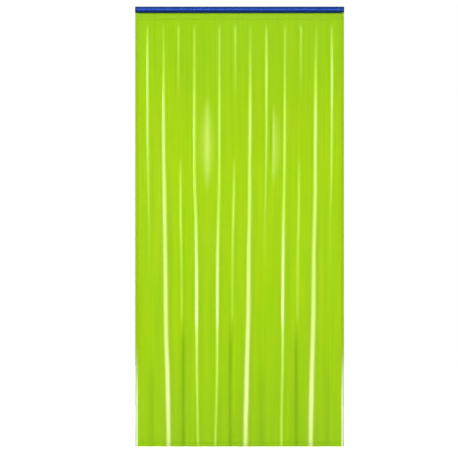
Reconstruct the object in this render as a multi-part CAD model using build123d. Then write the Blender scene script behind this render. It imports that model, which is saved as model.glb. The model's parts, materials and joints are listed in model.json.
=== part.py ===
from build123d import *
import math
import os

# Welding curtain screen: one sheet of tinted PVC welding film, hemmed on all four sides, hung by
# eyelets and rings from small trolleys that run inside a slotted round tube rail. The rail stands
# off the wall on three short spigots. Millimetres. X runs along the rail, -Y is the front of the
# screen, +Z is up, Y = 0 is the wall. The origin is the centre of the middle wall plate.

SCREEN_W = 1400.0          # rail with its end caps, and the hemmed curtain
SCREEN_H = 2950.0          # top of the rail to the bottom hem
HALF_W = SCREEN_W / 2

# Rail and end caps
RAIL_OD = 42.4
RAIL_WALL = 2.0
RAIL_R = RAIL_OD / 2
BORE_R = RAIL_R - RAIL_WALL
RAIL_Y = -60.0             # rail axis, in front of the wall
SLOT_W = 14.0              # slot along the tube's underside
SLOT_TOP = -10.0
CAP_T = 10.0
CAP_FILLET = 2.5
PLUG_L = 8.0               # how far a cap's plug enters the tube
PLUG_Z = 9.0               # underside of the plug, above the trolleys' path
PLUG_CLEARANCE = 0.05
TUBE_HALF = HALF_W - CAP_T
BOTTOM = RAIL_R - SCREEN_H

# Hanging points: the first is fixed, the others are on trolleys
HANG_COUNT = 7
HANG_PITCH = 225.0
HANG_X0 = -HANG_PITCH * (HANG_COUNT - 1) / 2
HANG_X = [HANG_X0 + HANG_PITCH * i for i in range(HANG_COUNT)]

# Countersunk screws, standing down from the top of the rail
HEAD_SINK = 0.35           # head below the top of the rail
CAP_SCREW = dict(head_r=2.8, shank_r=1.5, tip_z=11.2)
CAP_SOCKET_R, CAP_SOCKET_DEPTH = 1.2, 0.9
CAP_SCREW_X = TUBE_HALF - PLUG_L / 2
ANCHOR_SCREW = dict(head_r=4.8, shank_r=2.5, tip_z=5.0)
ANCHOR_SOCKET_R, ANCHOR_SOCKET_DEPTH = 1.8, 1.6
ANCHOR_SCREW_X = HANG_X0 + 7.0
RAIL_SCREW_GAP = 0.05      # around a screw in the rail
PART_SCREW_GAP = 0.02      # around a screw in an end cap or the anchor stop

# Wall brackets
PLATE_PITCH = 560.0
PLATES = {"left": -PLATE_PITCH, "centre": 0.0, "right": PLATE_PITCH}
PLATE_W, PLATE_H, PLATE_T = 70.0, 38.0, 4.0
PLATE_CORNER_R = 6.0
PLATE_HOLE_D = 6.5
PLATE_HOLE_PITCH = 52.0
BOSS_D, BOSS_Y = 24.0, -22.0
SPIGOT_D = 16.0
SPIGOT_END_Y = -6.0
SPIGOT_CHAMFER = 1.0
SPIGOT_GAP = 0.05          # around the spigot in its boss
SADDLE_GAP = 0.02          # spigot's hollowed front end to the rail
GRUB_R, GRUB_Y = 3.0, -14.0
GRUB_BOTTOM = -12.6
GRUB_SOCKET_R, GRUB_SOCKET_TOP = 1.7, -10.6

# Trolleys and anchor stop
AXLE_Z = -5.0
AXLE_D = 4.0
AXLE_HALF_L = 16.0
AXLE_HEAD_R = 3.3
WHEEL_IN, WHEEL_OUT = 7.0, 14.4     # wheel faces, each side of the middle
TREAD_R = 12.0                      # crown radius; the arc stays just inside the rail's bore
TREAD_CY, TREAD_CR = 4.02, 0.91     # crown centre: across the rail, and out from the axle
DISH_OUT_R, DISH_IN_R, DISH_DEPTH = 5.6, 3.6, 1.2
BODY_L, BODY_HALF_Y = 26.0, 6.0
BODY_TOP, BODY_BOTTOM = 1.0, -8.4
BODY_FILLET, BODY_CHAMFER = 3.5, 2.0
HUB_R = 3.4
LUG_HALF_X, LUG_HALF_Y, LUG_BOTTOM = 5.0, 1.25, -13.1
LUG_HOLE_R, LUG_HOLE_Z = 1.7, -9.8
ANCHOR_X0, ANCHOR_X1 = HANG_X0 - 6.5, HANG_X0 + 15.0
ANCHOR_HEAD_Z = 2.0        # underside of the part that fills the upper bore
ANCHOR_STEM_HALF_Y = 4.0
ANCHOR_CLEARANCE = 0.1

# Rings and eyelets
RING_Z = -15.0             # the curtain swings about this line
RING_MEAN_R, RING_WIRE_R = 5.0, 1.2
EYELET_Z = -21.05
EYELET_R_IN, EYELET_R_BARREL, EYELET_R_FLANGE = 2.5, 3.1, 5.5
EYELET_FLANGE_T = 0.5
EYELET_FILLET = 0.3
EYELET_GAP = 0.25          # around the barrel in the film and hem

# Hems
CURTAIN_TOP = -16.0        # top edge of the hemmed curtain, inside the rail's slot
HEM_T = 1.2
HEM_TOP_H = 50.0
HEM_BOTTOM_H = 27.0
HEM_SIDE_W = 20.0
HEM_GAP = 0.05             # film to hem layer
HEM_X = HALF_W - HEM_SIDE_W         # ends of the top and bottom hems
SIDE_HEM_GAP = 0.2                  # between those ends and the side hems
BOTTOM_HEM_IN, BOTTOM_HEM_OUT = 0.35, 0.75    # a layer's faces, from the film's middle
BOTTOM_HEM_WEB = 0.3                # height of the web joining the two layers

# Film
FILM_T = 0.4
FILM_INSET = 0.4                    # film's edge inside the curtain's outer edge
FILM_EDGE = HALF_W - FILM_INSET
FILM_TOP = CURTAIN_TOP - FILM_INSET
FILM_BACK = 2.5                     # film between folds stands this far behind its hanging plane
FLAT_EDGE = HEM_X - 4.0             # beyond this the film stays flat for the side hems
EDGE_RAMP = 14.0                    # width over which it steps back from the hanging plane
FLAT_TO = -120.0                    # flat down to here, then it opens into folds
WAVE_LOW = BOTTOM + HEM_BOTTOM_H + 13.0       # below this the folds run straight down
# height, how far the folds have opened there
FILM_LEVELS = [
    (FLAT_TO, 0.0),
    (-340.0, 0.55),
    (-640.0, 1.0),
    (WAVE_LOW, 1.0),
    (BOTTOM + FILM_INSET, 1.0),
]
# ridge position under the rail, ridge position at the bottom, height of the ridge
FOLDS = [
    (-618.0, -610.0, 7.0),
    (-509.0, -478.0, 9.0),
    (-409.0, -395.0, 6.0),
    (-303.0, -277.0, 9.0),
    (-135.0, -161.0, 9.0),
    (-28.0, -60.0, 6.0),
    (71.0, 40.0, 9.0),
    (180.0, 170.0, 7.0),
    (304.0, 280.0, 9.0),
    (411.0, 385.0, 6.0),
    (511.0, 477.0, 9.0),
    (616.0, 611.0, 7.0),
]
# one fold's section: distance from the ridge, share of its height; flat facets between
FOLD_SECTION = [
    (-38.0, 0.0), (-22.0, 0.28), (-10.0, 0.78), (0.0, 1.0),
    (10.0, 0.78), (22.0, 0.28), (38.0, 0.0),
]


# ---------------------------------------------------------------- helpers
# Each pair of limits may be given in either order.
def box(x0, x1, y0, y1, z0, z1):
    block = Box(abs(x1 - x0), abs(y1 - y0), abs(z1 - z0))
    return Pos((x0 + x1) / 2, (y0 + y1) / 2, (z0 + z1) / 2) * block


def cyl_x(radius, x0, x1, y, z):
    return Pos((x0 + x1) / 2, y, z) * (Rot(0, 90, 0) * Cylinder(radius, abs(x1 - x0)))


def cyl_y(radius, y0, y1, x, z):
    return Pos(x, (y0 + y1) / 2, z) * (Rot(90, 0, 0) * Cylinder(radius, abs(y1 - y0)))


def cyl_z(radius, z0, z1, x, y):
    return Pos(x, y, (z0 + z1) / 2) * Cylinder(radius, abs(z1 - z0))


def save(name, *shapes):
    """Write the solids of all the shapes as one piece."""
    solids = [solid for shape in shapes for solid in shape.solids()]
    body = solids[0] if len(solids) == 1 else Compound(children=solids)
    body.label = name
    export_step(body, os.path.join("parts", name + ".step"))


def hex_prism(radius, x, y, z, height):
    return Pos(x, y, z) * extrude(RegularPolygon(radius=radius, side_count=6), height)


def countersunk(x, head_r, shank_r, tip_z, grow=0.0):
    """Screw body; grow makes it larger all round, for cutting its hole."""
    head_top = RAIL_R - HEAD_SINK
    depth = head_r - shank_r
    cone = Pos(x, RAIL_Y, head_top - depth / 2) * Cone(shank_r + grow, head_r + grow, depth)
    return cone + cyl_z(shank_r + grow, tip_z - grow, head_top - depth, x, RAIL_Y)


def socket_screw(x, screw, socket_r, socket_depth):
    socket_z = RAIL_R - HEAD_SINK - socket_depth
    return countersunk(x, **screw) - hex_prism(socket_r, x, RAIL_Y, socket_z, socket_depth + 1.0)


def slot_cutter(x0, x1):
    return box(x0, x1, RAIL_Y - SLOT_W / 2, RAIL_Y + SLOT_W / 2, -RAIL_R - 5, SLOT_TOP)


def cut_eyelet_holes(sheet):
    for x in HANG_X:
        sheet -= cyl_y(EYELET_R_BARREL + EYELET_GAP, RAIL_Y - 3, RAIL_Y + 3, x, EYELET_Z)
    return sheet


# ---------------------------------------------------------------- rail
def rail_tube():
    tube = cyl_x(RAIL_R, -TUBE_HALF, TUBE_HALF, RAIL_Y, 0)
    tube -= cyl_x(BORE_R, -TUBE_HALF - 1, TUBE_HALF + 1, RAIL_Y, 0)
    tube -= slot_cutter(-TUBE_HALF - 1, TUBE_HALF + 1)
    screws = ((-CAP_SCREW_X, CAP_SCREW), (CAP_SCREW_X, CAP_SCREW), (ANCHOR_SCREW_X, ANCHOR_SCREW))
    for x, screw in screws:
        tube -= countersunk(x, **screw, grow=RAIL_SCREW_GAP)
        head_hole_r = screw["head_r"] + RAIL_SCREW_GAP
        tube -= cyl_z(head_hole_r, RAIL_R - HEAD_SINK, RAIL_R + 1, x, RAIL_Y)
    return tube


def end_cap(side):
    """Disc with a rounded outer rim, notched in line with the slot, and a plug in the upper bore."""
    inner, outer, plug_end = side * TUBE_HALF, side * HALF_W, side * (TUBE_HALF - PLUG_L)
    disc = cyl_x(RAIL_R, inner, outer, RAIL_Y, 0)
    rim = disc.edges().filter_by(GeomType.CIRCLE).group_by(Axis.X)[-1 if side > 0 else 0]
    disc = fillet(rim, CAP_FILLET)
    plug = cyl_x(BORE_R - PLUG_CLEARANCE, inner, plug_end, RAIL_Y, 0)
    plug &= box(inner, plug_end, RAIL_Y - RAIL_R, RAIL_Y + RAIL_R, PLUG_Z, RAIL_R)
    cap = disc + plug
    cap -= slot_cutter(inner - side, outer + side)
    cap -= countersunk(side * CAP_SCREW_X, **CAP_SCREW, grow=PART_SCREW_GAP)
    return cap


def lug(x):
    return box(x - LUG_HALF_X, x + LUG_HALF_X, RAIL_Y - LUG_HALF_Y, RAIL_Y + LUG_HALF_Y,
               LUG_BOTTOM, BODY_BOTTOM + 1)


def lug_hole(x):
    return cyl_y(LUG_HOLE_R, RAIL_Y - 12, RAIL_Y + 12, x, LUG_HOLE_Z)


def anchor_stop():
    """Fixed hanging point: a block in the tube above the first ring, which stops the trolleys."""
    anchor = cyl_x(BORE_R - ANCHOR_CLEARANCE, ANCHOR_X0, ANCHOR_X1, RAIL_Y, 0) & box(
        ANCHOR_X0, ANCHOR_X1, RAIL_Y - RAIL_R, RAIL_Y + RAIL_R, ANCHOR_HEAD_Z, RAIL_R)
    anchor += box(ANCHOR_X0, ANCHOR_X1, RAIL_Y - ANCHOR_STEM_HALF_Y, RAIL_Y + ANCHOR_STEM_HALF_Y,
                  BODY_BOTTOM, ANCHOR_HEAD_Z + 0.5)
    anchor += lug(HANG_X0)
    anchor -= lug_hole(HANG_X0)
    anchor -= countersunk(ANCHOR_SCREW_X, **ANCHOR_SCREW, grow=PART_SCREW_GAP)
    return anchor


# ---------------------------------------------------------------- wall brackets
def wall_plate(x):
    plate = box(x - PLATE_W / 2, x + PLATE_W / 2, -PLATE_T, 0, -PLATE_H / 2, PLATE_H / 2)
    plate = fillet(plate.edges().filter_by(Axis.Y), PLATE_CORNER_R)
    plate += cyl_y(BOSS_D / 2, BOSS_Y, -PLATE_T, x, 0)
    plate -= cyl_y(SPIGOT_D / 2 + SPIGOT_GAP, BOSS_Y - 1, SPIGOT_END_Y + 0.5, x, 0)
    for side in (-1, 1):
        plate -= cyl_y(PLATE_HOLE_D / 2, -PLATE_T - 1, 1, x + side * PLATE_HOLE_PITCH / 2, 0)
    plate -= cyl_z(GRUB_R + 0.05, -BOSS_D / 2 - 1, -5, x, GRUB_Y)
    return plate


def spigot(x):
    """Round bar from the wall plate to the rail, its front end hollowed to fit the tube."""
    bar = cyl_y(SPIGOT_D / 2, RAIL_Y, SPIGOT_END_Y, x, 0)
    bar -= cyl_x(RAIL_R + SADDLE_GAP, x - 20, x + 20, RAIL_Y, 0)
    wall_rim = bar.edges().filter_by(GeomType.CIRCLE).sort_by(Axis.Y)[-1]
    return chamfer(wall_rim, SPIGOT_CHAMFER)


def grub_screw(x):
    """Screw up through the boss's underside to the spigot."""
    grub = cyl_z(GRUB_R, GRUB_BOTTOM, -SPIGOT_D / 2 - SPIGOT_GAP, x, GRUB_Y)
    return grub - hex_prism(GRUB_SOCKET_R, x, GRUB_Y, GRUB_SOCKET_TOP - 3.0, 3.0)


# ---------------------------------------------------------------- trolleys
def tread_radius(y):
    return TREAD_CR + math.sqrt(TREAD_R ** 2 - (y - TREAD_CY) ** 2)


def wheel(x, side):
    """Wheel with a crowned tread and a ring-shaped dish in its outer face."""
    middle = (WHEEL_IN + WHEEL_OUT) / 2
    bore = AXLE_D / 2 + 0.05
    bore_in, bore_out = (bore, WHEEL_IN * side), (bore, WHEEL_OUT * side)
    tread_in, tread_mid, tread_out = [
        (tread_radius(y), y * side) for y in (WHEEL_IN, middle, WHEEL_OUT)
    ]
    section = Wire([
        Edge.make_line(bore_in, tread_in),
        Edge.make_three_point_arc(tread_in, tread_mid, tread_out),
        Edge.make_line(tread_out, bore_out),
        Edge.make_line(bore_out, bore_in),
    ])
    solid = revolve(Face(section), Axis.Y)
    dish_floor = WHEEL_OUT - DISH_DEPTH
    dish = cyl_y(DISH_OUT_R, WHEEL_OUT * side, dish_floor * side, 0, 0)
    dish -= cyl_y(DISH_IN_R, (WHEEL_OUT + 1) * side, (dish_floor - 1) * side, 0, 0)
    return Pos(x, RAIL_Y, AXLE_Z) * (solid - dish)


def trolley_body(x):
    block = box(x - BODY_L / 2, x + BODY_L / 2, RAIL_Y - BODY_HALF_Y, RAIL_Y + BODY_HALF_Y,
                BODY_BOTTOM, BODY_TOP)
    block = fillet(block.edges().filter_by(Axis.Y).group_by(Axis.Z)[-1], BODY_FILLET)
    block = chamfer(block.edges().filter_by(Axis.Y).group_by(Axis.Z)[0], BODY_CHAMFER)
    block += lug(x)
    for side in (-1, 1):
        hub_in, hub_out = RAIL_Y + side * (BODY_HALF_Y - 1), RAIL_Y + side * (WHEEL_IN - 0.1)
        block += cyl_y(HUB_R, hub_in, hub_out, x, AXLE_Z)
    block -= cyl_y(AXLE_D / 2 + 0.02, RAIL_Y - 10, RAIL_Y + 10, x, AXLE_Z)
    block -= lug_hole(x)
    return block


def trolley_axle(x):
    axle = cyl_y(AXLE_D / 2, RAIL_Y - AXLE_HALF_L, RAIL_Y + AXLE_HALF_L, x, AXLE_Z)
    for side in (-1, 1):
        head_in, head_out = RAIL_Y + side * (WHEEL_OUT + 0.05), RAIL_Y + side * AXLE_HALF_L
        axle += cyl_y(AXLE_HEAD_R, head_in, head_out, x, AXLE_Z)
    return axle


# ---------------------------------------------------------------- rings and eyelets
def hanging_ring(x):
    return Pos(x, RAIL_Y, RING_Z) * (Rot(0, 90, 0) * Torus(RING_MEAN_R, RING_WIRE_R))


def eyelet(x):
    half = HEM_T / 2 + HEM_GAP
    face = half + EYELET_FLANGE_T
    body = cyl_y(EYELET_R_BARREL, RAIL_Y - half, RAIL_Y + half, x, EYELET_Z)
    for side in (-1, 1):
        body += cyl_y(EYELET_R_FLANGE, RAIL_Y + side * half, RAIL_Y + side * face, x, EYELET_Z)
    body -= cyl_y(EYELET_R_IN, RAIL_Y - 5, RAIL_Y + 5, x, EYELET_Z)
    circles = body.edges().filter_by(GeomType.CIRCLE)
    flange_rims = circles.filter_by(lambda e: abs(e.radius - EYELET_R_FLANGE) < 1e-6)
    outer_rims = [e for e in flange_rims if abs(abs(e.center().Y - RAIL_Y) - face) < 1e-6]
    return fillet(outer_rims, EYELET_FILLET)


# ---------------------------------------------------------------- film
def outline(z, opened, x_end=FILM_EDGE):
    """The film's middle line at one height, as (x, y); every height has the same count."""
    # each fold drifts sideways on its way down
    drift = (FLAT_TO - max(z, WAVE_LOW)) / (FLAT_TO - WAVE_LOW)
    back = RAIL_Y + FILM_BACK * opened
    points = [(-x_end, RAIL_Y), (-FLAT_EDGE, RAIL_Y), (-FLAT_EDGE + EDGE_RAMP, back)]
    for top_x, bottom_x, height in FOLDS:
        ridge = top_x + (bottom_x - top_x) * drift
        points += [(ridge + dx, back - height * share * opened) for dx, share in FOLD_SECTION]
    return points + [(FLAT_EDGE - EDGE_RAMP, back), (FLAT_EDGE, RAIL_Y), (x_end, RAIL_Y)]


def facet(*points):
    return Face(Wire.make_polygon([Vector(*point) for point in points], close=True))


def strip_facets(upper, lower, z0, z1, dy):
    """Facets between two heights: a quadrilateral where its corners lie in a plane, else two
    triangles."""
    facets = []
    for (a, b), (c, d) in zip(zip(upper, upper[1:]), zip(lower, lower[1:])):
        top_a, top_b = (a[0], a[1] + dy, z0), (b[0], b[1] + dy, z0)
        low_c, low_d = (c[0], c[1] + dy, z1), (d[0], d[1] + dy, z1)
        twist = (b[0] - a[0]) * (d[1] - c[1]) - (b[1] - a[1]) * (d[0] - c[0])
        if abs(twist) < 1e-9:
            facets.append(facet(top_a, top_b, low_d, low_c))
        else:
            facets += [facet(top_a, top_b, low_d), facet(top_a, low_d, low_c)]
    return facets


def curtain_film():
    """One closed shell of flat facets; front and back are the same, FILM_T apart along Y."""
    levels = [z for z, _ in FILM_LEVELS]
    lines = [outline(z, opened) for z, opened in FILM_LEVELS]
    half_t = FILM_T / 2
    front, back = RAIL_Y - half_t, RAIL_Y + half_t
    faces = []
    for dy in (-half_t, half_t):
        rim = [(x, y + dy, FLAT_TO) for x, y in lines[0]]
        corners = [(x, RAIL_Y + dy, FILM_TOP) for x in (-FILM_EDGE, FILM_EDGE)]
        faces.append(facet(corners[0], *rim, corners[1]))
        for k in range(len(levels) - 1):
            faces += strip_facets(lines[k], lines[k + 1], levels[k], levels[k + 1], dy)
    for x in (-FILM_EDGE, FILM_EDGE):
        for z0, z1 in zip([FILM_TOP] + levels, levels):
            faces.append(facet((x, front, z0), (x, back, z0), (x, back, z1), (x, front, z1)))
    faces.append(facet((-FILM_EDGE, front, FILM_TOP), (FILM_EDGE, front, FILM_TOP),
                       (FILM_EDGE, back, FILM_TOP), (-FILM_EDGE, back, FILM_TOP)))
    faces.append(facet(*[(x, y - half_t, levels[-1]) for x, y in lines[-1]],
                       *[(x, y + half_t, levels[-1]) for x, y in reversed(lines[-1])]))
    film = Solid(Shell(faces))
    if film.volume < 0:
        film = Solid(film.wrapped.Reversed())
    return cut_eyelet_holes(film)


# ---------------------------------------------------------------- hems, over both film faces
HEM_FRONT, HEM_BACK = RAIL_Y - HEM_T / 2, RAIL_Y + HEM_T / 2
POCKET = FILM_T / 2 + HEM_GAP       # half the space left for the film


def hem_top():
    low = CURTAIN_TOP - HEM_TOP_H
    hem = box(-HEM_X, HEM_X, HEM_FRONT, HEM_BACK, low, CURTAIN_TOP)
    hem -= box(-HEM_X - 1, HEM_X + 1, RAIL_Y - POCKET, RAIL_Y + POCKET,
               low - 1, CURTAIN_TOP - 0.35)
    return cut_eyelet_holes(hem)


def hem_side(side):
    strip = box(side * (HEM_X + SIDE_HEM_GAP), side * HALF_W, HEM_FRONT, HEM_BACK,
                BOTTOM, CURTAIN_TOP)
    strip -= box(side * (HEM_X - 1), side * (HALF_W - 0.3), RAIL_Y - POCKET, RAIL_Y + POCKET,
                 BOTTOM - 1, CURTAIN_TOP + 1)
    return strip


def hem_layer(dy0, dy1, height):
    """Band standing on the bottom edge, between two offsets in Y from the film's middle."""
    line = outline(WAVE_LOW, 1.0, HEM_X)
    band = facet(*[(x, y + dy0, BOTTOM) for x, y in line],
                 *[(x, y + dy1, BOTTOM) for x, y in reversed(line)])
    return extrude(band, height, dir=(0, 0, 1))


def hem_bottom():
    """Front and back layers that follow the folds, joined under the film's edge."""
    hem = hem_layer(-BOTTOM_HEM_OUT, -BOTTOM_HEM_IN, HEM_BOTTOM_H)
    hem += hem_layer(-BOTTOM_HEM_IN, BOTTOM_HEM_IN, BOTTOM_HEM_WEB)
    hem += hem_layer(BOTTOM_HEM_IN, BOTTOM_HEM_OUT, HEM_BOTTOM_H)
    return hem


# ---------------------------------------------------------------- build
os.makedirs("parts", exist_ok=True)

save("rail_tube", rail_tube())
save("end_cap_left", end_cap(-1))
save("end_cap_right", end_cap(1))
save("end_cap_screws", *[
    socket_screw(side * CAP_SCREW_X, CAP_SCREW, CAP_SOCKET_R, CAP_SOCKET_DEPTH)
    for side in (-1, 1)
])
save("anchor_stop", anchor_stop())
save("anchor_screw",
     socket_screw(ANCHOR_SCREW_X, ANCHOR_SCREW, ANCHOR_SOCKET_R, ANCHOR_SOCKET_DEPTH))

for place, x in PLATES.items():
    save("wall_plate_" + place, wall_plate(x))
    save("spigot_" + place, spigot(x))
save("socket_grub_screws", *[grub_screw(x) for x in PLATES.values()])

for i, x in enumerate(HANG_X):
    save(f"ring_{i}", hanging_ring(x))
    save(f"eyelet_{i}", eyelet(x))
    if i > 0:
        save(f"trolley_body_{i}", trolley_body(x))
        save(f"trolley_axle_{i}", trolley_axle(x))
        save(f"trolley_wheels_{i}", wheel(x, -1), wheel(x, 1))

save("curtain_film", curtain_film())
save("hem_top", hem_top())
save("hem_anchor_side", hem_side(-1))
save("hem_lead_side", hem_side(1))
save("hem_bottom", hem_bottom())
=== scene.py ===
"""Translucent green welding curtain hung from a rail.

The rail runs along X and the film hangs in the XZ plane below it, with its front towards -Y.
The side hem at -X is fixed; the lead hem at +X travels towards it, and on the real curtain gathers
the film, which this scene does not do.
"""

import json
import math

import bmesh
import bpy
import numpy as np
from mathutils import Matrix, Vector


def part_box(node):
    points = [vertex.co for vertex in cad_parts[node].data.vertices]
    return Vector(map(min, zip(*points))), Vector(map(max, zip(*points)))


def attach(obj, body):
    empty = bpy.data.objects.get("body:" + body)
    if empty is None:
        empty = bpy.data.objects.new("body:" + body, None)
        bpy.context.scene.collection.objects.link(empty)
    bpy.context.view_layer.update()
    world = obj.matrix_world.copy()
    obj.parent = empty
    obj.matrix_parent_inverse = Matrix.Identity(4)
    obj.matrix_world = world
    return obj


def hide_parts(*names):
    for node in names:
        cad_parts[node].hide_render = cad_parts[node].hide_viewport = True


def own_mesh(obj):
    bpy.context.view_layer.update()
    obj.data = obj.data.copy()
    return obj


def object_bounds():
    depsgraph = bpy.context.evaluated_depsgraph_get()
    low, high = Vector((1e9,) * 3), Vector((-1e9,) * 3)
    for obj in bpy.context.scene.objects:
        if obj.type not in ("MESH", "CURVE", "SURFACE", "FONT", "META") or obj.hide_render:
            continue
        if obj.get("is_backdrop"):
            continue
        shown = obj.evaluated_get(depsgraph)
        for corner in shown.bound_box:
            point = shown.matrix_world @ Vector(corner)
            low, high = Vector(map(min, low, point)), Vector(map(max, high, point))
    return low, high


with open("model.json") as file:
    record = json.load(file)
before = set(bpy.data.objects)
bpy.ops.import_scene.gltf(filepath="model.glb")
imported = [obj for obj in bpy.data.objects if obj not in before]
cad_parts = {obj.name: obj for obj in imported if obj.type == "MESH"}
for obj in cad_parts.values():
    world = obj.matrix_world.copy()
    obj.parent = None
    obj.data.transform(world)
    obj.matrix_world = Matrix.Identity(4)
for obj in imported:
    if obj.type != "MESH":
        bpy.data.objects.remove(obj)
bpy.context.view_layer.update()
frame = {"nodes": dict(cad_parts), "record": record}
scene = bpy.context.scene

# ------------------------------------------------------------------ places, from the frame
film_lo, film_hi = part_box("curtain_film")
top_hem_lo, top_hem_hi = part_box("hem_top")
bottom_hem_lo, bottom_hem_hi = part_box("hem_bottom")
lead_hem_lo, lead_hem_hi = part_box("hem_lead_side")
rail_lo, rail_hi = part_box("rail_tube")

RAIL_TOP = rail_hi.z
RAIL_Y = (rail_lo.y + rail_hi.y) / 2
CURTAIN_TOP = top_hem_hi.z
CURTAIN_FOOT = bottom_hem_lo.z
MID_Z = (RAIL_TOP + CURTAIN_FOOT) / 2
TOP_HEM_EDGE = top_hem_lo.z         # free edges of the hems
BOTTOM_HEM_EDGE = bottom_hem_hi.z
OUTER_X = lead_hem_hi.x             # half widths to the outer and inner edges of the side hems
INNER_X = lead_hem_lo.x

FILM_HALF = 0.0002                  # half the film's thickness
HEM_STEP = 0.0035                   # grid step across the top and bottom hems
PRESS = 0.00022                     # how far a weld presses a hem's outer skin in

# ------------------------------------------------------------------ the folds, in millimetres
FOLD_START = 95.0                   # depth below the rail's top where the film leaves its plane

# Each crease: (half width high up, half width at the foot, widening of the left flank and of the
# right flank at mid height), then the points it runs down through:
# (depth below the rail's top, x, strength).
CREASES = [
    ((8.0, 8.0, 1, 1), [
        (96, -617, 0), (150, -617, .36), (258, -617, .60), (430, -617, .76), (630, -616, .68),
        (830, -615, .60), (1030, -613, .46), (1230, -611, .38), (1430, -609, .24),
        (1640, -605, .10), (1850, -602, 0)]),
    ((9.5, 14.2, 1.0, 1.28), [
        (96, -511, 0), (140, -511, .16), (180, -511, .18), (258, -510, .22), (426, -510, .44),
        (630, -509, .76), (830, -509, .86), (1030, -507, .84), (1634, -499, .88),
        (2040, -495, .90), (2240, -492, .94), (2440, -484, 1.0), (2650, -480, 1.06),
        (2760, -478, 1.0), (2850, -477, .92), (2932, -476, .90)]),
    ((8.5, 8.5, 1, 1.1), [
        (96, -410, 0), (144, -410, .42), (430, -410, .27), (520, -410, .14), (640, -409, 0),
        (1000, -397, 0), (1060, -397, .28), (1231, -396, .60), (1433, -395, .68),
        (1634, -391, .44), (1835, -390, .32), (2040, -389, .30), (2085, -389, .27),
        (2120, -389, 0)]),
    ((8.5, 8.5, 0.95, 1.22), [
        (96, -303, 0), (150, -303, .34), (258, -303, .42), (426, -303, .46), (630, -303, .70),
        (830, -303, .74), (1030, -302, .70), (1231, -300, .66), (1433, -292, .78),
        (1835, -289, .92), (2040, -289, .96), (2110, -289, .94), (2175, -288, .80),
        (2270, -288, .76), (2440, -287, .71), (2640, -284, .61), (2820, -281, .54),
        (2932, -278, .60)]),
    ((8.5, 8.5, 1.25, 1.0), [
        (96, -135, 0), (150, -135, .36), (258, -135, .42), (426, -135, .46), (630, -135, .66),
        (830, -135, .74), (1030, -136, .66), (1231, -137, .62), (1433, -142, .74),
        (1634, -147, .88), (2040, -149, .96), (2110, -149, .94), (2175, -150, .80),
        (2270, -150, .76), (2440, -151, .71), (2640, -155, .61), (2820, -160, .57),
        (2932, -163, .64)]),
    ((8.5, 8.5, 1.1, 1.1), [
        (96, -28, 0), (144, -28, .44), (430, -28, .28), (520, -28, .14), (640, -30, 0),
        (1000, -34, 0), (1060, -36, .24), (1231, -38, .56), (1433, -43, .66), (1634, -47, .42),
        (1835, -48, .34), (2040, -49, .32), (2085, -49, .28), (2120, -50, 0)]),
    ((10.0, 14.6, 1.0, 1.35), [
        (96, 71, 0), (140, 71, .16), (180, 71, .18), (258, 71, .27), (426, 71, .46),
        (630, 71, .76), (830, 70, .86), (1030, 67, .82), (1433, 64, .82), (1634, 59, .88),
        (2040, 57, .92), (2240, 53, .96), (2440, 48, 1.0), (2650, 44, 1.06), (2760, 41, 1.0),
        (2850, 40, .92), (2932, 39, .90)]),
    ((8.0, 8.0, 1, 1.1), [
        (96, 180, 0), (150, 180, .36), (258, 180, .66), (430, 180, .78), (630, 180, .74),
        (830, 180, .66), (1030, 178, .54), (1230, 174, .35), (1430, 169, .22), (1640, 167, .12),
        (1800, 166, 0)]),
    ((8.5, 8.5, 1.2, 1.0), [
        (96, 305, 0), (150, 305, .36), (258, 304, .40), (426, 303, .46), (630, 303, .70),
        (830, 303, .74), (1030, 302, .72), (1231, 299, .68), (1433, 295, .80), (1634, 293, .92),
        (2040, 289, .96), (2110, 289, .94), (2175, 289, .80), (2270, 289, .76), (2440, 288, .71),
        (2640, 283, .61), (2820, 281, .59), (2932, 280, .66)]),
    ((8.5, 8.5, 1.1, 1.0), [
        (96, 412, 0), (144, 412, .42), (430, 411, .26), (520, 410, .13), (640, 408, 0),
        (1000, 399, 0), (1060, 398, .26), (1231, 398, .54), (1433, 395, .60), (1634, 392, .44),
        (1835, 389, .32), (2040, 388, .32), (2085, 388, .28), (2120, 387, 0)]),
    ((10.0, 14.8, 1.2, 1.15), [
        (96, 513, 0), (140, 513, .16), (180, 513, .18), (258, 513, .27), (426, 510, .50),
        (630, 509, .80), (830, 508, .88), (1231, 507, .83), (1433, 503, .84), (1634, 498, .86),
        (2040, 495, .90), (2240, 490, .94), (2440, 484, 1.0), (2650, 480, 1.06), (2760, 478, 1.0),
        (2850, 477, .92), (2932, 476, .90)]),
    ((8.0, 8.0, 1, 1), [
        (96, 617, 0), (150, 617, .36), (258, 617, .60), (430, 617, .78), (630, 617, .76),
        (830, 617, .64), (1030, 616, .64), (1230, 614, .40), (1430, 606, .18), (1640, 610, .12),
        (1850, 612, 0)]),
]
# Broad soft swellings in the upper middle, standing forward and painted paler as soft highlights:
# (start depth, end depth, x, half width to the left, half width to the right, strength)
SWELLS = [(600, 1240, -217, 30, 27, .66), (640, 1220, 223, 5, 30, .52)]
# Hollows between folds, sunk into the sheet and painted darker as shade: (start depth, end depth,
# x, half width, strength).
# Those that end at 4000 run off the foot.
HOLLOWS = [
    (2070, 4000, -377, 12.5, .56), (2070, 4000, -61, 12, .54), (2070, 4000, 378, 12, .54),
    (2300, 4000, -592, 22, .22), (2300, 4000, 150, 20, .20), (2300, 4000, 590, 22, .22),
    (640, 1120, 213, 5.5, .55),
]


def rise(value, start, span):
    """Smooth step from 0 at start to 1 at start + span; a negative span rises backwards."""
    t = np.clip((value - start) / span, 0, 1)
    return t * t * (3 - 2 * t)


def bell(t, power=2):
    return np.exp(-np.abs(t) ** power)


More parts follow.
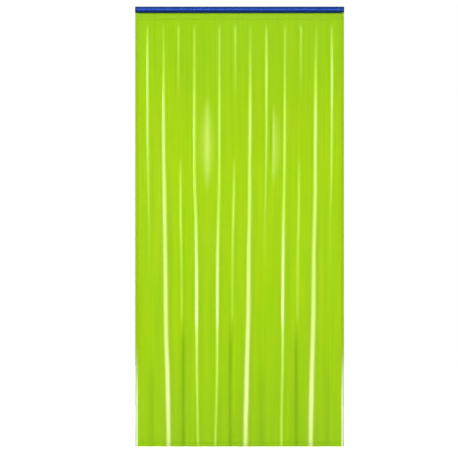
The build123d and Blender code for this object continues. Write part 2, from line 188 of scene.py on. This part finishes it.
def fold_fields(x, z):
    """Shading masks at points of the film (metres), and how far it stands forward (metres)."""
    depth = (RAIL_TOP - z) * 1000.0
    across = x * 1000.0
    crest_highlight, hard, lee_shade, ridge, swell_and_highlight, hollow_and_shade = (np.zeros_like(x) for _ in range(6))

    mid_height = rise(depth, 1000.0, 300.0) * rise(depth, 2350.0, -500.0)
    for (head_width, foot_width, left, right), points in CREASES:
        depths, centres, strengths = zip(*points)
        centre = np.interp(depth, depths, centres)
        strength = np.interp(depth, depths, strengths)
        width = head_width + (foot_width - head_width) * rise(depth, 1500.0, 1100.0)
        flank = np.where(across < centre, left, right)
        u = (across - centre) / (width * (1 + (flank - 1) * mid_height))
        # painted highlight line along the crease, with a flatter crown than a plain bell
        crest_highlight += strength * bell(u, 2.4)
        # only strong creases count as hard, over a wide flat-topped band
        hard += rise(strength, 0.68, 0.34) * bell(u / 2.4, 4)
        # painted shade: duller bands 1.6 half widths to either side, stronger on the right
        lee_shade += strength * (0.65 * bell((u - 1.6) / 0.75) + 0.5 * bell((u + 1.6) / 0.75))
        # 3 mm sharp ridge on a 3.2 mm broad one
        ridge += strength * (3.0 * bell(u) + 3.2 * bell(u / 3.6))

    for start, end, centre, left, right, strength in SWELLS:
        middle, half = (start + end) / 2, (end - start) / 2
        envelope = np.clip(1 - ((depth - middle) / half) ** 2, 0, 1)
        # a swell narrows to a quarter of its width at its ends
        width = np.where(across < centre, left, right) * (0.25 + 0.75 * envelope)
        swell_and_highlight += strength * envelope ** 0.9 * bell((across - centre) / width, 1.5)

    for start, end, centre, width, strength in HOLLOWS:
        fade = rise(depth, start, 260.0) * rise(depth, end, -260.0)
        hollow_and_shade += strength * fade * bell((across - centre) / width)

    hard = np.clip(hard, 0, 1)
    # painted highlight: a light crease only brightens the tint; a hard one turns nearly white
    crest_highlight *= rise(depth, 76.0, 84.0) * (1.19 - 0.19 * hard)
    # the relief grows below the top hem and dies out 4 mm short of the side hems
    grow = rise(depth, FOLD_START, 130.0)
    side = rise(np.abs(across), INNER_X * 1000 - 4, -40.0)
    # a slow roll of the sheet between the creases: 1.3 mm high, every 103 mm
    roll = 1.3 * np.sin(across / 103.0 * 2 * math.pi + 0.9) * rise(depth, 150.0, 900.0)
    # swells add up to 2 mm, hollows take up to 2.2 mm, and the whole sits back 1.6 mm
    forward = (ridge + 2.0 * swell_and_highlight - 2.2 * hollow_and_shade + roll - 1.6) * grow * side
    masks = {"crest_highlight": crest_highlight, "hard": hard, "swell_and_highlight": swell_and_highlight,
             "hollow_and_shade": hollow_and_shade * side, "lee_shade": lee_shade * grow}
    return masks, forward / 1000.0


# ------------------------------------------------------------------ mesh helpers
def new_mesh(name, verts, faces, smooth_shade=True):
    mesh = bpy.data.meshes.new(name)
    mesh.from_pydata([tuple(v) for v in verts], [], faces)
    mesh.validate()
    mesh.update()
    if smooth_shade:
        mesh.polygons.foreach_set("use_smooth", [True] * len(mesh.polygons))
    ob = bpy.data.objects.new(name, mesh)
    scene.collection.objects.link(ob)
    return ob


def face_outwards(ob):
    bm = bmesh.new()
    bm.from_mesh(ob.data)
    bmesh.ops.recalc_face_normals(bm, faces=bm.faces)
    bm.to_mesh(ob.data)
    bm.free()


def point_attributes(ob, fields):
    for name, values in fields.items():
        attribute = ob.data.attributes.new(name, "FLOAT", "POINT")
        attribute.data.foreach_set("value", np.asarray(values, np.float32))


def curtain_points(x, z, forward):
    """Points standing a distance in front of the curtain's plane."""
    return np.stack(np.broadcast_arrays(x, RAIL_Y - forward, z), -1)


def height_rows(start, *spans):
    """Heights from start through spans of (end, count), each count including both ends."""
    heights = [start]
    for end, count in spans:
        heights.extend(np.linspace(heights[-1], end, count)[1:])
    return np.array(heights)


def dress(ob, material, body, node):
    """Give a piece its material, parent it to its body's empty and hide the CAD node it stands
    for.
    """
    ob.data.materials.append(material)
    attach(ob, body)
    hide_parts(node)


# ------------------------------------------------------------------ node helpers
class Graph:
    """Node tree of a material or world, started afresh with its output node."""

    def __init__(self, owner, output="OutputMaterial"):
        owner.use_nodes = True
        self.tree = owner.node_tree
        self.tree.nodes.clear()
        self.output = self.add(output)

    def add(self, kind, inputs=None, **settings):
        """Add a node; inputs given as sockets are linked, others are set."""
        node = self.tree.nodes.new("ShaderNode" + kind)
        for name, value in settings.items():
            setattr(node, name, value)
        for key, value in (inputs or {}).items():
            if isinstance(value, bpy.types.NodeSocket):
                self.tree.links.new(value, node.inputs[key])
            else:
                node.inputs[key].default_value = value
        return node

    def finish(self, shader):
        self.tree.links.new(shader, self.output.inputs["Surface"])

    def noise(self, frequency, detail=3.0, roughness=0.5):
        """Noise in object space; frequency is per metre along x, y and z."""
        coords = self.add("TexCoord").outputs["Object"]
        mapped = self.add("Mapping", {"Vector": coords, "Scale": frequency}).outputs["Vector"]
        return self.add("TexNoise", {"Vector": mapped, "Scale": 1.0, "Detail": detail,
                                     "Roughness": roughness}).outputs["Fac"]

    def ramp(self, factor, *stops):
        """Colour ramp through (position, colour) stops in rising order."""
        node = self.add("ValToRGB", {"Fac": factor})
        elements = node.color_ramp.elements
        for element, stop in zip(elements, (stops[0], stops[-1])):
            element.position, element.color = stop
        for position, colour in stops[1:-1]:
            elements.new(position).color = colour
        return node.outputs["Color"]

    def mix(self, factor, a, b, blend="MIX"):
        return self.add("Mix", {0: factor, 6: a, 7: b},
                        data_type="RGBA", blend_type=blend).outputs[2]

    def math(self, operation, a, b, clamp=False):
        return self.add("Math", {0: a, 1: b}, operation=operation, use_clamp=clamp).outputs[0]

    def remap(self, value, source=(0.0, 1.0), target=(0.0, 1.0)):
        return self.add("MapRange", {"Value": value, "From Min": source[0],
                                     "From Max": source[1], "To Min": target[0],
                                     "To Max": target[1]}).outputs[0]

    def attribute(self, name):
        return self.add("Attribute", attribute_name=name).outputs["Fac"]

    def bump(self, height, strength, distance):
        return self.add("Bump", {"Height": height, "Strength": strength,
                                 "Distance": distance}).outputs["Normal"]

    def mix_shader(self, factor, a, b):
        return self.add("MixShader", {0: factor, 1: a, 2: b}).outputs[0]


def srgb(*channels):
    """Linear colour from 0-255 sRGB channels."""
    def linear(c):
        c /= 255.0
        return c / 12.92 if c <= 0.04045 else ((c + 0.055) / 1.055) ** 2.4
    return (*map(linear, channels), 1.0)


def grey(value):
    return (value, value, value, 1)


# ------------------------------------------------------------------ materials
def film_colour(g, long_streaks, slow, hem_tint):
    """The tint from rail to foot, streaked, then coloured by the point attributes."""
    height = g.add("SeparateXYZ", {0: g.add("TexCoord").outputs["Object"]}).outputs["Z"]
    # painted light: the tint runs a little brighter in the upper middle than near the rail and
    # towards the foot, as the light falls
    colour = g.ramp(g.remap(height, source=(0.0, CURTAIN_FOOT)),
                    (0.10, srgb(158, 199, 1)), (0.23, srgb(166, 201, 3)),
                    (0.37, srgb(169, 204, 4)), (0.64, srgb(167, 203, 2)),
                    (0.82, srgb(166, 202, 0)), (1.0, srgb(162, 201, 0)))

    def streaked(pattern, low, high):
        return g.mix(1.0, colour, g.ramp(pattern, low, high), "MULTIPLY")

    # streaks and patches multiply the tint, mostly in its blue
    colour = streaked(long_streaks, (0.30, (0.91, 0.957, 0.60, 1)), (0.70, (1.08, 1.033, 1.60, 1)))
    thin_streaks = g.noise((150.0, 150.0, 1.3), detail=2.0, roughness=0.6)
    colour = streaked(thin_streaks, (0.32, (0.925, 0.96, 0.6, 1)), (0.68, (1.075, 1.035, 1.7, 1)))
    colour = g.mix(g.math("MULTIPLY", slow, 0.20), colour, srgb(168, 201, 8))
    patches = g.noise((19.0, 19.0, 3.2), detail=2.0, roughness=0.55)
    colour = streaked(patches, (0.30, (0.955, 1.0, 0.6, 1)), (0.70, (1.04, 1.0, 1.4, 1)))
    if hem_tint:
        colour = g.mix(0.5, colour, srgb(*hem_tint))

    # painted highlight colour of the creases: pale yellow-green, nearly white on hard creases
    crease_highlight = g.mix(g.attribute("hard"), srgb(203, 233, 87), srgb(227, 240, 168))
    # (point attribute, how much of it shows, colour), laid one over another
    layers = [
        # painted shade on the creases' flanks
        ("lee_shade", 0.74, srgb(156, 183, 48)),
        # painted shade in the hollows
        ("hollow_and_shade", 1.0, srgb(120, 168, 0)),
        # painted soft highlights on the swells
        ("swell_and_highlight", 1.0, srgb(212, 228, 126)),
        # painted highlights along the creases
        ("crest_highlight", 1.0, crease_highlight),
        # painted highlight on the side hems' lower part
        ("strip", 1.0, srgb(240, 255, 196)),
        # painted reflection along the side hems' outer edge
        ("outer", 1.0, srgb(158, 198, 150)),
        ("under", 1.0, srgb(28, 52, 22)),
        ("weld", 0.22, srgb(120, 176, 10)),
    ]
    for name, strength, layer in layers:
        mask = g.math("MULTIPLY", g.attribute(name), strength, clamp=True)
        colour = g.mix(mask, colour, layer)
    return colour


def film_material(name, hem_tint=None):
    """Tinted translucent PVC with painted light and shade (highlights on the creases and swells,
    shade beside the creases and in the hollows) and a glossy surface.

    A hem takes half its colour from hem_tint and lets less light straight through.
    """
    mat = bpy.data.materials.new(name)
    g = Graph(mat)
    long_streaks = g.noise((34.0, 34.0, 0.9), detail=4.0, roughness=0.6)
    slow = g.noise((3.2, 3.2, 1.1), detail=2.0)
    fine = g.noise((900.0, 900.0, 900.0), detail=2.0)
    colour = film_colour(g, long_streaks, slow, hem_tint)

    relief = g.math("ADD", g.math("MULTIPLY", long_streaks, 1.0), g.math("MULTIPLY", fine, 0.12))
    normal = g.bump(relief, strength=0.17, distance=0.0006)

    diffuse = g.add("BsdfDiffuse", {"Color": colour, "Roughness": 0.2, "Normal": normal})
    translucent = g.add("BsdfTranslucent", {"Color": colour, "Normal": normal})
    clear = g.add("BsdfTransparent", {"Color": colour})
    body = g.mix_shader(0.5, diffuse.outputs[0], translucent.outputs[0])
    clear_share = 0.06 if hem_tint else 0.14
    thin = g.mix_shader(clear_share, body, clear.outputs[0])
    gloss = g.add("BsdfGlossy", {"Color": grey(1), "Normal": normal,
                                 "Roughness": g.remap(slow, target=(0.10, 0.20))})
    fresnel = g.add("Fresnel", {"IOR": 1.5, "Normal": normal})
    g.finish(g.mix_shader(fresnel.outputs[0], thin, gloss.outputs[0]))
    return mat


def coated(name, colour, dark, rough, metallic=0.0, grain=1400.0, grain_strength=0.15,
           coat=0.0, specular=0.5):
    """Paint, moulding or plated metal: two-tone, finely textured, with paler worn edges."""
    mat = bpy.data.materials.new(name)
    g = Graph(mat)
    big = g.noise((9.0, 9.0, 9.0), roughness=0.55)
    fine = g.noise((grain, grain, grain), detail=2.0, roughness=0.6)
    two_tone = g.ramp(big, (0.30, dark), (0.70, colour))
    pointiness = g.add("NewGeometry").outputs["Pointiness"]
    edge = g.remap(pointiness, source=(0.52, 0.60))
    worn = g.math("MULTIPLY", edge, fine, clamp=True)
    pale = tuple(min(1.0, c * 1.6 + 0.04) for c in colour[:3]) + (1.0,)
    principled = g.add("BsdfPrincipled", {
        "Base Color": g.mix(g.math("MULTIPLY", worn, 0.5), two_tone, pale),
        "Metallic": metallic,
        "Roughness": g.remap(fine, target=(rough - 0.06, rough + 0.08)),
        "Coat Weight": coat,
        "Coat Roughness": 0.12,
        "Specular IOR Level": specular,
        "Normal": g.bump(fine, strength=grain_strength, distance=0.0003),
    })
    g.finish(principled.outputs[0])
    return mat


film_mat = film_material("welding_film")
hem_mat = film_material("welding_film_hem", hem_tint=(163, 214, 2))
side_mat = film_material("welding_film_side_hem", hem_tint=(163, 203, 3))
rail_mat = coated("rail_blue", colour=srgb(35, 81, 184), dark=srgb(30, 74, 173), rough=0.21,
                  metallic=0.90, coat=0.10, grain=700.0, grain_strength=0.02)
cap_mat = coated("cap_navy", colour=srgb(9, 23, 60), dark=srgb(7, 18, 50), rough=0.45,
                 grain=900.0, specular=0.25)
zinc_mat = coated("zinc_steel", colour=srgb(196, 198, 202), dark=srgb(168, 171, 176),
                  rough=0.32, metallic=1.0, grain=2200.0)
ring_mat = coated("nickel_wire", colour=srgb(206, 206, 204), dark=srgb(186, 186, 184),
                  rough=0.22, metallic=1.0, grain=2600.0, grain_strength=0.08)
# painted shade: the eyelets are dark grey-green because they sit in the shadow line under the rail
eyelet_mat = coated("eyelet_painted_shade", colour=srgb(46, 52, 44), dark=srgb(36, 41, 34),
                    rough=0.38, grain=2400.0)
nylon_mat = coated("natural_nylon", colour=srgb(232, 229, 216), dark=srgb(222, 218, 202),
                   rough=0.42, grain=1800.0)

SLOT_MATERIALS = {
    "rail_blue": rail_mat, "cap_navy": cap_mat, "screw_steel": zinc_mat,
    "ring_steel": ring_mat, "eyelet_black": eyelet_mat, "eyelet_brass": eyelet_mat,
    "nylon": nylon_mat, "welding_film": film_mat, "film_hem": hem_mat,
}
for subpart in frame["record"]["subparts"]:
    cad_materials = frame["nodes"][subpart["node"]].data.materials
    cad_materials.clear()
    cad_materials.append(SLOT_MATERIALS[subpart["material_slot"]])


# ------------------------------------------------------------------ film
def film_sheet():
    """Closed thin sheet on a grid: a front and a back layer joined round the edge."""
    step = 0.0025
    columns = int(round((film_hi.x - film_lo.x) / step)) + 1
    heights = height_rows(film_hi.z, (RAIL_TOP - FOLD_START / 1000, 6), (RAIL_TOP - 0.30, 14),
                          (film_lo.z, 110))
    rows = len(heights)
    x, z = np.meshgrid(np.linspace(film_lo.x, film_hi.x, columns), heights)
    masks, forward = fold_fields(x, z)
    front = curtain_points(x, z, forward + FILM_HALF).reshape(-1, 3)
    back = curtain_points(x, z, forward - FILM_HALF).reshape(-1, 3)

    to_back = rows * columns
    faces = []
    for j in range(rows - 1):
        for i in range(columns - 1):
            a = j * columns + i
            b, c, d = a + 1, a + columns + 1, a + columns
            faces.append((a, d, c, b))
            faces.append((a + to_back, b + to_back, c + to_back, d + to_back))

    def rim(a, b):
        faces.append((a, b, b + to_back, a + to_back))

    for i in range(columns - 1):
        last = (rows - 1) * columns + i
        rim(i, i + 1)
        rim(last + 1, last)
    for j in range(rows - 1):
        left, right = j * columns, (j + 1) * columns - 1
        rim(left + columns, left)
        rim(right, right + columns)

    ob = new_mesh("curtain_film_sheet", np.vstack([front, back]), faces)
    masks["weld"] = np.zeros_like(x)
    point_attributes(ob, {name: np.tile(mask.ravel(), 2) for name, mask in masks.items()})
    dress(ob, film_mat, "curtain", "curtain_film")
    return ob


# ------------------------------------------------------------------ hems
def hem_band(name, node, heights, fold, outer, inner, welds, shadow=None):
    """Hem skins on both faces of the film, following its folds, joined along one edge.

    heights run down; fold is 1 for a joined top edge, -1 for a joined bottom edge.
    outer and inner are the skins' distances from the film's middle.
    welds are the heights of welded lines, which press the outer skins in.
    shadow is (height where full, height where it ends) of a dark line along the band.
    """
    columns = int(round(2 * INNER_X / HEM_STEP)) + 1
    x, z = np.meshgrid(np.linspace(-INNER_X, INNER_X, columns), heights)
    masks, forward = fold_fields(x, z)
    weld = np.clip(sum(bell((z - height) / 0.0022) for height in welds), 0, 1)

    to_free = list(range(len(heights)))[::fold]
    to_fold = to_free[::-1]
    fold_row = to_free[0]
    pressed = outer - PRESS * weld
    inner_z = z.copy()
    inner_z[fold_row] -= fold * 0.00035
    bend = [curtain_points(x[fold_row], z[fold_row] + fold * 0.0003 * math.sin(t),
                           forward[fold_row] + outer * math.cos(t))
            for t in map(math.radians, (60, 90, 120))]
    # up the outer front to the fold, over it, down the outer back, and back along the inside
    profile = [
        *curtain_points(x, z, forward + pressed)[to_fold],
        *bend,
        *curtain_points(x, z, forward - pressed)[to_free],
        *curtain_points(x, inner_z, forward - inner)[to_fold],
        *curtain_points(x, inner_z, forward + inner)[to_free],
    ]
    source_rows = to_fold + [fold_row] * len(bend) + to_free + to_fold + to_free

    count = len(profile)
    faces = []
    for row in range(count):
        a, b = row * columns, (row + 1) % count * columns
        for i in range(columns - 1):
            faces.append((a + i, a + i + 1, b + i + 1, b + i))
    faces.append(tuple(row * columns for row in range(count)))
    faces.append(tuple(row * columns + columns - 1 for row in reversed(range(count))))

    verts = np.vstack(profile)
    ob = new_mesh(name, verts, faces)
    face_outwards(ob)
    point_attributes(ob, {"weld": weld[source_rows].ravel()})
    if shadow:
        full, end = shadow
        point_attributes(ob, {"under": rise(verts[:, 2], end, full - end)})
    point_attributes(ob, {key: mask[source_rows].ravel() for key, mask in masks.items()})
    dress(ob, hem_mat, "curtain", node)
    return ob


def side_strip(name, side, body, node):
    """Side hem: a folded edge with a rounded outer side, a weld line, a painted highlight over its
    lower part and a painted pale reflection line along its outer edge.
    """
    width = OUTER_X - INNER_X
    skin, bend = 0.0006, 0.0008           # outer skin's offset, and how far in the bend reaches
    inner_skin, inner_bend = 0.00026, 0.00075
    leg_points = 14
    angles = [math.radians(a) for a in (30, 60, 90, 120, 150)]
    # round the strip: distance in from the outer edge, and distance forward
    inset = np.array([*np.linspace(width, bend, leg_points),
                      *(bend - bend * math.sin(t) for t in angles),
                      *np.linspace(bend, width, leg_points),
                      width, inner_bend, inner_bend, width])
    forward = np.array([*[skin] * leg_points,
                        *(skin * math.cos(t) for t in angles),
                        *[-skin] * leg_points,
                        -inner_skin, -inner_skin, inner_skin, inner_skin])
    # a weld 2 mm from the hem's inner edge, on the outer skins only
    weld = np.where(np.abs(forward) > 0.0005, bell((inset - (width - 0.002)) / 0.0012), 0.0)
    forward = forward - np.copysign(0.00018 * weld, forward)

    heights = np.linspace(CURTAIN_TOP, CURTAIN_FOOT, 150)
    x, z = np.meshgrid(side * (OUTER_X - inset), heights)
    verts = curtain_points(x, z, forward).reshape(-1, 3)
    around = len(inset)
    faces = []
    for j in range(len(heights) - 1):
        a, b = j * around, (j + 1) * around
        for k in range(around):
            following = (k + 1) % around
            faces.append((a + k, a + following, b + following, b + k))
    faces.append(tuple(range(around)))
    faces.append(tuple(len(verts) - around + k for k in reversed(range(around))))
    ob = new_mesh(name, verts, faces)
    face_outwards(ob)

    low = rise((RAIL_TOP - heights) * 1000, 2230.0, 470.0)[:, None]
    point_attributes(ob, {
        "weld": np.tile(weld, len(heights)),
        # painted highlight over nearly the whole width of the hem's lower part
        "strip": (low * rise(inset, 0.0195, -0.002)).ravel(),
        # painted pale grey-blue reflection along the outer edge, faint high up and full low down
        "outer": ((0.20 + 0.80 * low) * rise(inset, 0.0072, -0.0025)).ravel(),
    })
    flat = np.zeros(len(verts))
    point_attributes(ob, dict.fromkeys(("crest_highlight", "hard", "swell_and_highlight", "hollow_and_shade", "lee_shade"), flat))
    dress(ob, side_mat, body, node)


film = film_sheet()
top_band = hem_band(
    "hem_top_band", "hem_top",
    height_rows(CURTAIN_TOP, (RAIL_TOP - 0.042, 4), (RAIL_TOP - 0.050, 9),
                (TOP_HEM_EDGE + 0.018, 5), (TOP_HEM_EDGE + 0.010, 7), (TOP_HEM_EDGE, 7)),
    fold=1, outer=0.0006, inner=0.00024,
    welds=[TOP_HEM_EDGE + 0.0145, TOP_HEM_EDGE + 0.001],
    # the line under the rail that light from above never reaches
    shadow=(RAIL_TOP - 0.0436, RAIL_TOP - 0.0482))
bottom_band = hem_band(
    "hem_bottom_band", "hem_bottom",
    height_rows(BOTTOM_HEM_EDGE, (BOTTOM_HEM_EDGE - 0.006, 7), (CURTAIN_FOOT + 0.004, 5),
                (CURTAIN_FOOT, 5)),
    fold=-1, outer=0.0007, inner=0.00030, welds=[BOTTOM_HEM_EDGE - 0.0025])
side_strip("hem_anchor_strip", -1, "curtain", "hem_anchor_side")
side_strip("hem_lead_strip", 1, "hanger_6", "hem_lead_side")


# ------------------------------------------------------------------ own meshes
def gather(pieces):
    """Give each piece a mesh of its own; nothing squashes them as the lead hem travels."""
    for ob in pieces:
        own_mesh(ob)


gather((film, top_band, bottom_band))


# ------------------------------------------------------------------ stage
def studio_floor():
    z = CURTAIN_FOOT - 0.035
    half_width, front, back = 14, -22, 8
    corners = [(-half_width, front, z), (half_width, front, z),
               (half_width, back, z), (-half_width, back, z)]
    floor = new_mesh("studio_floor", corners, [(0, 1, 2, 3)], smooth_shade=False)
    mat = bpy.data.materials.new("floor_white")
    g = Graph(mat)
    mottle = g.noise((40.0, 40.0, 40.0))
    principled = g.add("BsdfPrincipled", {
        "Base Color": g.ramp(mottle, (0.3, grey(0.93)), (0.7, grey(0.97))),
        "Roughness": 0.8,
        "Emission Color": grey(1),
        "Emission Strength": 0.35,
    })
    g.finish(principled.outputs[0])
    floor.data.materials.append(mat)
    floor.visible_glossy = False
    floor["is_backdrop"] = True


# What glossy surfaces see, from straight down to straight up:
# ((sine of elevation + 1) / 2, brightness)
GLOSSY_SKY = [
    (0.08, 0.0), (0.17, 0.02), (0.22, 0.36), (0.29, 0.78), (0.39, 0.46), (0.45, 0.03),
    (0.55, 0.03), (0.59, 0.46), (0.65, 0.40), (0.72, 0.08), (0.90, 0.04), (1.0, 0.36),
]


def studio_world():
    """White to the camera, brighter white as fill light, banded for glossy reflections."""
    world = bpy.data.worlds.new("studio")
    scene.world = world
    g = Graph(world, "OutputWorld")

    def background(colour, strength):
        return g.add("Background", {"Color": colour, "Strength": strength}).outputs[0]

    direction = g.add("TexCoord").outputs["Generated"]
    height = g.add("SeparateXYZ", {0: direction}).outputs["Z"]
    sky = g.ramp(g.remap(height, source=(-1.0, 1.0)),
                 *((position, grey(value)) for position, value in GLOSSY_SKY))
    rays = g.add("LightPath").outputs
    seen = g.mix_shader(rays["Is Glossy Ray"], background(grey(1), 1.42), background(sky, 1.0))
    g.finish(g.mix_shader(rays["Is Camera Ray"], seen, background(grey(1), 1.0)))


def area_light(name, place, target, size, power, diffuse, specular):
    light = bpy.data.lights.new(name, "AREA")
    light.shape = "RECTANGLE"
    light.size, light.size_y = size
    light.energy = power
    light.diffuse_factor = diffuse
    light.specular_factor = specular
    ob = bpy.data.objects.new(name, light)
    ob.location = place
    ob.rotation_mode = "QUATERNION"
    ob.rotation_quaternion = (Vector(target) - Vector(place)).to_track_quat("-Z", "Y")
    scene.collection.objects.link(ob)


def studio_lights():
    middle = (0, RAIL_Y, MID_Z)
    # tall strips at both sides, in front, pick out the creases
    reach, angle = 7, math.radians(33)
    for side, name in ((-1, "strip_left"), (1, "strip_right")):
        place = (side * reach * math.sin(angle), RAIL_Y - reach * math.cos(angle), MID_Z)
        area_light(name, place, middle, size=(0.7, 5.0), power=60.0, diffuse=0.3, specular=1.0)
    # a long strip high in front picks out the rail
    area_light("rail_strip", (0, RAIL_Y - 6.0, RAIL_TOP + 1.80), (0, RAIL_Y, 0),
               size=(4.0, 0.5), power=50.0, diffuse=0.0, specular=1.0)
    area_light("key", (-3.0, RAIL_Y - 5.0, 2.6), middle,
               size=(2.5, 2.5), power=132.0, diffuse=1.0, specular=0.0)
    # shines through the film from behind
    area_light("back_glow", (0, 3.2, MID_Z), (0, 0, MID_Z),
               size=(3.0, 4.0), power=66.0, diffuse=1.0, specular=0.0)


def front_camera():
    """Straight on, with a long lens."""
    lens, sensor = 150.0, 36.0      # millimetres
    view_width = 3.0702             # metres seen across the picture at the curtain
    shift_x, shift_z = -0.0712, -0.0157
    lo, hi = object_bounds()
    data = bpy.data.cameras.new("camera")
    data.lens = lens
    data.sensor_width = sensor
    data.clip_end = 200.0
    camera = bpy.data.objects.new("camera", data)
    camera.location = ((lo.x + hi.x) / 2 + shift_x, RAIL_Y - lens / sensor * view_width,
                       (lo.z + hi.z) / 2 + shift_z)
    camera.rotation_euler = (math.radians(90), 0, 0)
    scene.collection.objects.link(camera)
    scene.camera = camera


studio_floor()
studio_world()
studio_lights()
front_camera()
scene.view_settings.view_transform = "Standard"
scene.view_settings.look = "None"

bpy.context.view_layer.update()
